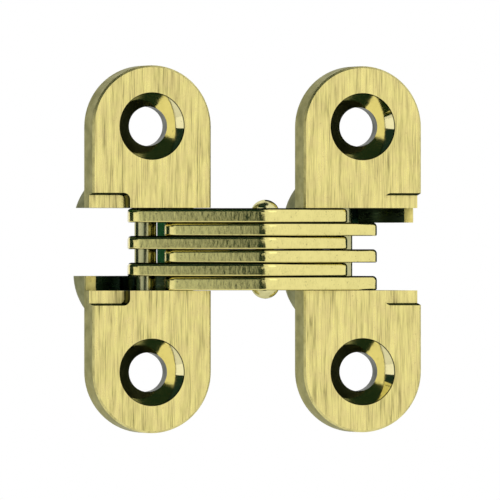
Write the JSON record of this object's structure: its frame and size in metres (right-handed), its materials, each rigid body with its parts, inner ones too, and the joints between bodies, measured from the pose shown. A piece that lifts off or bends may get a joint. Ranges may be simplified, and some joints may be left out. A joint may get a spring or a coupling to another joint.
{
  "type": "invisible hinge",
  "caption": "Brass invisible hinge opened flat: two countersunk leaves with link cups, joined by crossed flat links on a domed rivet.",
  "frame": {"origin": "on the left leaf's face, midway between its two screw holes", "axes": "+X from the left leaf to the right leaf, +Y into the wood, +Z along the hinge"},
  "size_m": [0.0354, 0.0185, 0.0382],
  "materials": {
    "leaf_brass": "satin brushed brass",
    "link_brass": "polished brass",
    "pin_brass": "plain bright brass"
  },
  "bodies": {
    "left_leaf": {"left_leaf": "leaf_brass", "left_pivot_pin": "pin_brass"},
    "even_links": {"link_2": "link_brass", "link_4": "link_brass", "link_6": "link_brass", "centre_rivet": "pin_brass", "right_slide_pin": "pin_brass"},
    "odd_links": {"link_1": "link_brass", "link_3": "link_brass", "link_5": "link_brass", "left_slide_pin": "pin_brass"},
    "right_leaf": {"right_leaf": "leaf_brass", "right_pivot_pin": "pin_brass"}
  },
  "joints": [
    {"name": "left_pivot", "type": "hinge", "parent": "left_leaf", "child": "even_links", "pos_m": [0.0044, 0.004, 0], "axis": [0, 0, -1], "range_deg": [0, 105.96]},
    {"name": "link_cross", "type": "hinge", "parent": "even_links", "child": "odd_links", "pos_m": [0.01135, -0.00285, 0], "axis": [0, 0, -1], "range_deg": [-31.93, 0]},
    {"name": "right_pivot", "type": "hinge", "parent": "odd_links", "child": "right_leaf", "pos_m": [0.0183, 0.004, 0], "axis": [0, 0, -1], "range_deg": [0, 105.96]}
  ],
  "couplings": [
    {"joint": "link_cross", "follows": "left_pivot", "ratio": -0.30131},
    {"joint": "right_pivot", "follows": "left_pivot", "ratio": 1}
  ]
}
